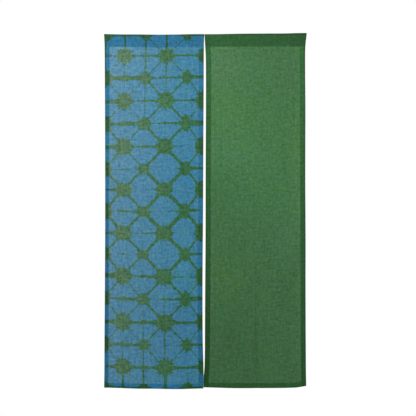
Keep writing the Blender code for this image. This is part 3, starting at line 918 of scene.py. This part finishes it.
def lattice_dye(recipe, warp, weft):
    """The clamp-dyed lattice. Returns how far each point lies in the green, 0 to 1, and how far in a star.

    Each fold, slanting fold and mark has a signed distance: that from its middle line or centre less its half
    width or radius. The least of them, with rounded inner corners, is the lattice's. A star may be taller
    than wide; its radius swells softly eight times and juts out to sixteen uneven points round its centre,
    the level folds widen towards the stars, and the border runs in and out by a little along each thread."""
    x, y = recipe.uv("lattice")
    u, v = recipe.uv("cloth")
    pitch_x, pitch_y = COLUMN_PITCH / MM, ROW_PITCH / MM
    sway = recipe.noise(recipe.vector(u, v, 2.0), scale=32.0, detail=1.0)
    x = recipe.maths("ADD", x, recipe.maths("MULTIPLY", recipe.maths("SUBTRACT", sway, 0.5), 0.035))
    sway = recipe.noise(recipe.vector(u, v, 4.0), scale=32.0, detail=1.0)
    y = recipe.maths("ADD", y, recipe.maths("MULTIPLY", recipe.maths("SUBTRACT", sway, 0.5), 0.035))
    near_x = recipe.maths("ROUND", x)
    near_y = recipe.maths("ROUND", y)
    away_x = recipe.maths("MULTIPLY", recipe.maths("SUBTRACT", x, near_x), pitch_x)
    away_y = recipe.maths("MULTIPLY", recipe.maths("SUBTRACT", y, near_y), pitch_y)
    across_half = recipe.amount("line_across")
    across = recipe.maths("SUBTRACT", recipe.maths("ABSOLUTE", away_y), across_half)
    down = recipe.maths("SUBTRACT", recipe.maths("ABSOLUTE", away_x), recipe.amount("line_down"))

    rising = recipe.maths("MULTIPLY", recipe.maths("ADD", x, y), 0.5)
    falling = recipe.maths("MULTIPLY", recipe.maths("SUBTRACT", x, y), 0.5)
    off_rising = recipe.maths("ABSOLUTE", recipe.maths("SUBTRACT", rising, recipe.maths("ROUND", rising)))
    off_falling = recipe.maths("ABSOLUTE", recipe.maths("SUBTRACT", falling, recipe.maths("ROUND", falling)))
    slant_pitch = 2 * pitch_x * pitch_y / math.hypot(pitch_x, pitch_y)
    off_slant = recipe.maths("MULTIPLY", recipe.maths("MINIMUM", off_rising, off_falling), slant_pitch)
    slant = recipe.maths("SUBTRACT", off_slant, recipe.amount("line_slant"))

    draw_out = recipe.amount("mark_draw_out")
    wide = recipe.maths("MULTIPLY", away_x, draw_out)
    high = recipe.maths("DIVIDE", away_y, draw_out)
    reach = recipe.maths("SQRT", recipe.maths("ADD", recipe.maths("MULTIPLY", wide, wide),
                                              recipe.maths("MULTIPLY", high, high)))
    turn = recipe.maths("ARCTAN2", away_y, away_x)
    safe_reach = recipe.maths("MAXIMUM", reach, 0.01)
    ring = recipe.vector(recipe.maths("MULTIPLY_ADD", recipe.maths("DIVIDE", away_x, safe_reach), 2.6,
                                      recipe.maths("MULTIPLY", near_x, 7.3)),
                         recipe.maths("MULTIPLY_ADD", recipe.maths("DIVIDE", away_y, safe_reach), 2.6,
                                      recipe.maths("MULTIPLY", near_y, 9.1)), 0.5)
    uneven = recipe.noise(ring, detail=3.0, roughness=0.75)
    from_middle = recipe.maths("ABSOLUTE", recipe.maths("SUBTRACT", y, len(CHART) / 2 - 0.5))
    spiky = recipe.remap(from_middle, 2.0, 5.0, 0.55, 1.0)
    eight = recipe.maths("COSINE", recipe.maths("MULTIPLY", turn, 8.0))
    lean = recipe.maths("MULTIPLY_ADD", uneven, 2.0, recipe.maths("MULTIPLY", turn, 8.0))
    jut = recipe.maths("SUBTRACT", 0.60, recipe.maths("ABSOLUTE", recipe.maths("SINE", lean)))
    points = recipe.maths("MULTIPLY_ADD", eight, 0.05, recipe.maths("MULTIPLY", jut, 0.30))
    swell = recipe.maths("MULTIPLY_ADD", points, spiky, 1.045)
    swell = recipe.maths("ADD", swell, recipe.maths("MULTIPLY", recipe.maths("SUBTRACT", uneven, 0.5), 0.30))
    mark = recipe.maths("SUBTRACT", reach, recipe.maths("MULTIPLY", recipe.amount("mark_radius"), swell))

    past_mark = recipe.maths("DIVIDE", recipe.maths("MAXIMUM", mark, 0.0), -13.0)
    widest = recipe.remap(across_half, 0.0, 2.0, 0.0, 3.0)
    wedge = recipe.maths("MULTIPLY", recipe.maths("EXPONENT", past_mark), widest)
    across = recipe.maths("SUBTRACT", across, wedge)
    straight = recipe.maths("SMOOTH_MIN", across, down, 3.0)
    straight = recipe.maths("SMOOTH_MIN", straight, mark, 7.0)
    web = recipe.remap(recipe.amount("line_slant"), 0.5, 5.0, 3.0, 13.0)
    slanting = recipe.maths("SMOOTH_MIN", slant, mark, web)
    border = recipe.maths("SMOOTH_MIN", straight, slanting, 2.0)
    teeth = recipe.maths("SUBTRACT", recipe.maths("ADD", warp, weft), 1.0)
    border = recipe.maths("MULTIPLY_ADD", teeth, 3.2, border)
    return recipe.remap(border, 1.5, -1.5), recipe.remap(mark, 2.0, -3.0)


def cotton(name, dye, patterned):
    """Dyed cotton cloth: the dye's colour on the weave, darker where doubled as painted shade for the light
    that the doubled cloth keeps back, paler beside hems and towards a whitish haze, darker with painted shade
    along the outer folds and the stitch lines, matt, with a little light coming through the single cloth."""
    recipe = Recipe(name)
    grain, height, warp, weft = weave(recipe)
    u, v = recipe.uv("cloth")
    doubled = recipe.amount("doubled")
    faded = recipe.amount("faded")
    if patterned:
        in_green, in_star = lattice_dye(recipe, warp, weft)
        # Painted shade: the doubled colours are darker, for the light that the doubled cloth keeps back
        blue = recipe.mix(doubled, tuple(dye.blue), tuple(dye.blue_doubled))
        green = recipe.mix(doubled, tuple(dye.star_green), tuple(dye.star_green_doubled))
        specks = recipe.noise(recipe.vector(u, v, 12.0), scale=210.0, detail=2.0, roughness=0.7)
        washed = recipe.maths("MULTIPLY", recipe.remap(specks, 0.42, 0.72, 0.0, 0.42), in_star)
        green = recipe.mix(recipe.maths("MULTIPLY", washed, faded), green, (0.22, 0.30, 0.19))
        colour = recipe.mix(in_green, blue, green)
        gains = recipe.mix(in_green, (1.8, 1.08, 0.80), (2.2, 1.5, 2.1))
        hue_gains = (1.3, 0.0, 0.8)
        painted_edge_shade = (0.50, 0.80, 0.88)
    else:
        # Painted shade: the doubled colour is darker, for the light that the doubled cloth keeps back
        colour = recipe.mix(doubled, tuple(dye.green), tuple(dye.green_doubled))
        gains = (1.5, 0.93, 1.45)
        hue_gains = (0.45, 0.0, 0.5)
        painted_edge_shade = (0.27, 0.58, 0.30)
    tint = recipe.noise(recipe.vector(u, v, 15.0), scale=22.0, detail=3.0)
    warm_or_cool = recipe.mix(recipe.remap(tint, 0.3, 0.7), (0.96, 1.0, 1.07), (1.04, 1.0, 0.93))
    colour = recipe.mix(1.0, colour, warm_or_cool, blend="MULTIPLY")
    redder = recipe.maths("SUBTRACT", recipe.noise(recipe.vector(u, v, 21.0), scale=110.0, detail=1.0), 0.5)
    bluer = recipe.maths("SUBTRACT", recipe.noise(recipe.vector(u, v, 27.0), scale=110.0, detail=1.0), 0.5)
    colour = recipe.vary(colour, recipe.vector(redder, 0.0, bluer), hue_gains)
    colour = recipe.vary(colour, recipe.vector(grain, grain, grain), gains)
    # Tones: soft dye patches, and painted shade on the hems, the heading and along a crease
    colour = recipe.mix(1.0, colour, recipe.tones("tones"), blend="MULTIPLY")
    # The whitish haze, and the paler strips beside the hems
    haze_share = recipe.maths("ADD", recipe.maths("MULTIPLY", faded, 0.070),
                        recipe.maths("MULTIPLY", recipe.amount("pale"), 0.012))
    haze_share = recipe.maths("MULTIPLY", haze_share, recipe.maths("MULTIPLY_ADD", grain, 1.8, 1.0), clamp=True)
    colour = recipe.mix(haze_share, colour, tuple(dye.faded))
    # Painted shade along the outer folds and the stitch lines
    shade = recipe.mix(recipe.amount("edge"), (1.0, 1.0, 1.0), painted_edge_shade)
    colour = recipe.mix(1.0, colour, shade, blend="MULTIPLY")

    recipe.feed(recipe.shader.inputs["Base Color"], colour)
    recipe.shader.inputs["Roughness"].default_value = 0.9
    recipe.shader.inputs["Specular IOR Level"].default_value = 0.2
    recipe.shader.inputs["Sheen Weight"].default_value = 0.06
    recipe.shader.inputs["Sheen Roughness"].default_value = 0.6
    recipe.relief(height, 0.35, 0.25 * MM)
    glow = recipe.nodes.new("ShaderNodeBsdfTranslucent")
    recipe.feed(glow.inputs["Color"], colour)
    through = recipe.nodes.new("ShaderNodeMixShader")
    recipe.feed(through.inputs[0], recipe.remap(doubled, 0.0, 1.0, 0.10, 0.02, smooth=False))
    recipe.links.new(recipe.shader.outputs[0], through.inputs[1])
    recipe.links.new(glow.outputs[0], through.inputs[2])
    recipe.links.new(through.outputs[0], recipe.output.inputs[0])
    return recipe.material


def sewing_cotton(name, colour):
    """Sewing thread: its colour flecked a little lighter, with a fine fuzz, nearly matt."""
    recipe = Recipe(name)
    place = recipe.nodes.new("ShaderNodeTexCoord")
    fuzz = recipe.noise(place.outputs["Object"], scale=900.0, detail=1.0)
    light = tuple(min(1.0, part * 1.35) for part in colour)
    recipe.feed(recipe.shader.inputs["Base Color"], recipe.mix(fuzz, tuple(colour), light))
    recipe.shader.inputs["Roughness"].default_value = 0.75
    recipe.shader.inputs["Specular IOR Level"].default_value = 0.3
    recipe.relief(fuzz, 0.3, 0.05 * MM)
    return recipe.material


def hang_panel(panel, cloth, dye, collection):
    """Makes one panel's cloth, gives it its dye, haze and painted shade, and puts it in the place of its CAD
    solids.
    """
    grid = cloth_grid(panel, cloth)
    piece, quads = grid_mesh(panel.name + "_cloth", grid, collection)
    patterned = panel is LEFT_PANEL
    if patterned:
        place_x, place_y = lattice_places(grid["x_flat"], grid["drop"])
        add_uv(piece.data, "lattice", place_x, place_y, quads)
        for name, values in chart_lines(place_x, place_y).items():
            add_amount(piece.data, name, values)
    ply_shade_and_pale = ply_shade_and_pale_places(cloth, grid)
    for name, values in ply_shade_and_pale.items():
        add_amount(piece.data, name, values)
    faded, tones = haze_and_tone_places(panel, cloth, grid, ply_shade_and_pale["doubled"])
    add_amount(piece.data, "faded", faded)
    add_tones(piece.data, "tones", tones)
    piece.data.materials.append(cotton(panel.name + "_cotton", dye, patterned))
    shell = piece.modifiers.new("cloth thickness", "SOLIDIFY")
    shell.thickness = cloth.thickness
    shell.offset = 0.0
    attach(piece, "root")
    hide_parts(*panel.node_names)


def stitch_rows(panel, cloth, behind):
    """Points along each stitch line on the front or the back: heading, foot hem, left hem, right hem."""
    across = np.linspace(0.006, 0.994, 700)
    foot = cloth.length - read_curve(panel.ends, "across", "foot", across) * MM
    lines = [(across, seam_drop(panel, cloth, across) - 0.8 * MM), (across, foot - cloth.stitch_inset)]
    down = np.linspace(cloth.heading + 1.5 * MM, cloth.length - 2 * MM, 2200)
    left, right = side_x(panel, down)
    inset = cloth.stitch_inset / cloth.side_hem / (right - left)
    lines.append((inset * hem_width(panel, "left_hem", down), down))
    lines.append((1 - inset * hem_width(panel, "right_hem", down), down))
    rows = []
    for number, (across, drop) in enumerate(lines):
        left, right = side_x(panel, drop)
        x = left + across * (right - left)
        y = cloth_depth(panel, cloth, across, drop) + FRONT_LEVEL + cloth.thickness / 2
        corner = corner_bulk(cloth, hem_inset(panel, cloth, x, drop))
        if behind and number < 2:
            y = y + cloth.ply_pitch * (2 + CORNER_PLIES[1] * corner)
        elif behind:
            y = y + 2 * cloth.ply_pitch
        y = y + (cloth.thickness / 2 if behind else -cloth.thickness / 2)
        rows.append(np.stack([x, y, -drop], axis=-1))
    return rows


def stitch_places(path, pitch, length):
    """Middles and directions of stitches of one length, set along a path at an even pitch."""
    steps = np.concatenate([[0.0], np.cumsum(np.linalg.norm(np.diff(path, axis=0), axis=1))])
    centres = np.arange(pitch, steps[-1] - pitch, pitch)
    places = np.stack([np.interp(centres, steps, path[:, k]) for k in range(3)], axis=-1)
    ahead = np.stack([np.interp(centres + length / 2, steps, path[:, k]) for k in range(3)], axis=-1)
    along = ahead - places
    return places, along / np.linalg.norm(along, axis=1, keepdims=True)


def sew(panel, cloth, dye, collection):
    """All the stitches of one panel, front and back, as one mesh of short capsules. Each stitch is a thread
    that lies on the cloth and dips into it at both ends: its height falls by the fourth power of its place
    along the stitch, and its girth by the sixth."""
    rings, sides = 6, 5
    t = np.linspace(-1, 1, rings)
    turns = np.arange(sides) * 2 * math.pi / sides
    high, wide = np.sin(turns)[None, None, :, None], np.cos(turns)[None, None, :, None]
    girth = (THREAD_WIDTH / 2 * np.sqrt(np.clip(1.02 - t ** 6, 0.05, 1)))[None, :, None, None]
    lift = (0.30 * MM * (1 - t ** 4) - 0.16 * MM)[None, :, None, None]
    vertices, faces, count = [], [], 0
    for behind in (False, True):
        out_way = np.array([0.0, 1.0 if behind else -1.0, 0.0])
        for path in stitch_rows(panel, cloth, behind):
            places, along = stitch_places(path, STITCH_PITCH, STITCH_LENGTH)
            side = np.cross(along, out_way)
            side = side / np.linalg.norm(side, axis=1, keepdims=True)
            out = np.cross(side, along)
            ring = (places[:, None, None, :]
                    + along[:, None, None, :] * (t * STITCH_LENGTH / 2)[None, :, None, None]
                    + out[:, None, None, :] * (lift + 0.75 * girth * high)
                    + side[:, None, None, :] * girth * wide)
            vertices.append(ring.reshape(-1, 3))
            low = count + np.arange(len(places))[:, None, None] * rings * sides
            low = low + np.arange(rings - 1)[None, :, None] * sides
            s = np.arange(sides)[None, None, :]
            s2 = (s + 1) % sides
            quads = np.stack([low + s, low + s2, low + sides + s2, low + sides + s], axis=-1)
            faces.append(quads.reshape(-1, 4))
            count += len(places) * rings * sides
    points = np.concatenate(vertices)
    quads = np.concatenate(faces)
    firsts = np.arange(0, count, rings * sides)[:, None]
    caps_start = firsts + np.arange(sides)[None, ::-1]
    caps_end = firsts + (rings - 1) * sides + np.arange(sides)[None, :]
    polygons = quads.tolist() + caps_start.tolist() + caps_end.tolist()
    mesh = bpy.data.meshes.new(panel.name + "_stitching")
    mesh.from_pydata(points.tolist(), [], polygons)
    mesh.shade_smooth()
    piece = bpy.data.objects.new(panel.name + "_stitching", mesh)
    collection.objects.link(piece)
    colour = dye.blue_thread if panel is LEFT_PANEL else dye.green_thread
    mesh.materials.append(sewing_cotton(panel.name + "_thread", tuple(colour)))
    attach(piece, "root")
    return piece


def add_floor(stage, collection):
    """A round pale floor, one disc of ninety-six sides."""
    mesh = bpy.data.meshes.new("floor")
    sides = 96
    turns = np.arange(sides) * 2 * math.pi / sides
    radius = stage.floor_radius
    points = [(radius * math.cos(a), radius * math.sin(a), stage.floor_level) for a in turns]
    mesh.from_pydata(points, [], [list(range(sides))])
    floor = bpy.data.objects.new("floor", mesh)
    collection.objects.link(floor)
    recipe = Recipe("floor_paint")
    recipe.shader.inputs["Base Color"].default_value = (0.86, 0.86, 0.86, 1.0)
    recipe.shader.inputs["Roughness"].default_value = 0.8
    mesh.materials.append(recipe.material)


def add_surroundings(stage):
    """A white surround that the camera sees as pure white and that lights the cloth more softly."""
    world = bpy.data.worlds.new("white_surround")
    bpy.context.scene.world = world
    world.use_nodes = True
    nodes, links = world.node_tree.nodes, world.node_tree.links
    plain = nodes["Background"]
    plain.inputs["Color"].default_value = (1.0, 1.0, 1.0, 1.0)
    plain.inputs["Strength"].default_value = stage.ambient
    seen = nodes.new("ShaderNodeBackground")
    seen.inputs["Color"].default_value = (1.0, 1.0, 1.0, 1.0)
    seen.inputs["Strength"].default_value = 1.0
    ray = nodes.new("ShaderNodeLightPath")
    either = nodes.new("ShaderNodeMixShader")
    links.new(ray.outputs["Is Camera Ray"], either.inputs[0])
    links.new(plain.outputs[0], either.inputs[1])
    links.new(seen.outputs[0], either.inputs[2])
    links.new(either.outputs[0], nodes["World Output"].inputs[0])


def add_lamp(name, place, aim, size, power, collection):
    """A square soft lamp that points at its aim."""
    data = bpy.data.lights.new(name, "AREA")
    data.shape = "SQUARE"
    data.size = size
    data.energy = power
    lamp = bpy.data.objects.new(name, data)
    lamp.location = place
    way = np.array(aim) - np.array(place)
    lamp.rotation_euler = direction_euler(way)
    collection.objects.link(lamp)


def direction_euler(way):
    """Turns that point -Z along a direction, with +Y up."""
    flat = math.hypot(way[0], way[1])
    return (math.atan2(flat, -way[2]), 0.0, math.atan2(-way[0], way[1]))


class NOREN_OT_hang_panels(bpy.types.Operator):
    """Cut, hem, dye and hang both panels"""

    bl_idname = "noren.hang_panels"
    bl_label = "Hang the panels"

    def execute(self, context):
        scene = context.scene
        for panel in PANELS:
            hang_panel(panel, scene.noren_cloth, scene.noren_dye, scene.collection)
        return {"FINISHED"}


class NOREN_OT_sew_stitches(bpy.types.Operator):
    """Sew the headings, side hems and foot hems"""

    bl_idname = "noren.sew_stitches"
    bl_label = "Sew the seams"

    def execute(self, context):
        scene = context.scene
        cloth = scene.noren_cloth
        for panel in PANELS:
            piece = scene.objects.get(panel.name + "_cloth")
            if piece is None:
                raise RuntimeError("hang the panels before sewing them")
            stitches = sew(panel, cloth, scene.noren_dye, scene.collection)
        return {"FINISHED"}


class NOREN_OT_set_stage(bpy.types.Operator):
    """Put up the floor, the surround, the lamps and the camera"""

    bl_idname = "noren.set_stage"
    bl_label = "Set the stage"

    def execute(self, context):
        scene = context.scene
        stage = scene.noren_stage
        add_floor(stage, scene.collection)
        add_surroundings(stage)
        add_lamp("key_lamp", KEY_LAMP_PLACE, KEY_LAMP_AIM, KEY_LAMP_SIZE, stage.key_power, scene.collection)
        data = bpy.data.cameras.new("camera")
        data.lens = data.sensor_width * stage.camera_distance / stage.frame_width
        camera = bpy.data.objects.new("camera", data)
        camera.location = (stage.aim[0], stage.aim[1] - stage.camera_distance, stage.aim[2])
        camera.rotation_euler = (math.pi / 2, 0.0, 0.0)
        scene.collection.objects.link(camera)
        scene.camera = camera
        scene.view_settings.view_transform = "Standard"
        return {"FINISHED"}


class NOREN_PT_sidebar(bpy.types.Panel):
    """The noren's settings and steps"""

    bl_idname = "NOREN_PT_sidebar"
    bl_label = "Noren curtain"
    bl_space_type = "VIEW_3D"
    bl_region_type = "UI"
    bl_category = "Noren"

    def draw(self, context):
        layout = self.layout
        for step in STEPS:
            layout.operator(step.bl_idname)
        for settings in (context.scene.noren_cloth, context.scene.noren_dye, context.scene.noren_stage):
            box = layout.box()
            for name in settings.__annotations__:
                box.prop(settings, name)


STEPS = (NOREN_OT_hang_panels, NOREN_OT_sew_stitches, NOREN_OT_set_stage)
CLASSES = (NorenClothSettings, NorenDyeSettings, NorenStageSettings, *STEPS, NOREN_PT_sidebar)


def register():
    """Adds the classes and the scene's three groups of settings."""
    for cls in CLASSES:
        bpy.utils.register_class(cls)
    bpy.types.Scene.noren_cloth = bpy.props.PointerProperty(type=NorenClothSettings)
    bpy.types.Scene.noren_dye = bpy.props.PointerProperty(type=NorenDyeSettings)
    bpy.types.Scene.noren_stage = bpy.props.PointerProperty(type=NorenStageSettings)


def unregister():
    """Takes them away again."""
    del bpy.types.Scene.noren_cloth
    del bpy.types.Scene.noren_dye
    del bpy.types.Scene.noren_stage
    for cls in reversed(CLASSES):
        bpy.utils.unregister_class(cls)


def main():
    """Makes the whole noren and its stage."""
    register()
    bpy.ops.noren.hang_panels()
    bpy.ops.noren.sew_stitches()
    bpy.ops.noren.set_stage()


if __name__ == "__main__":
    main()
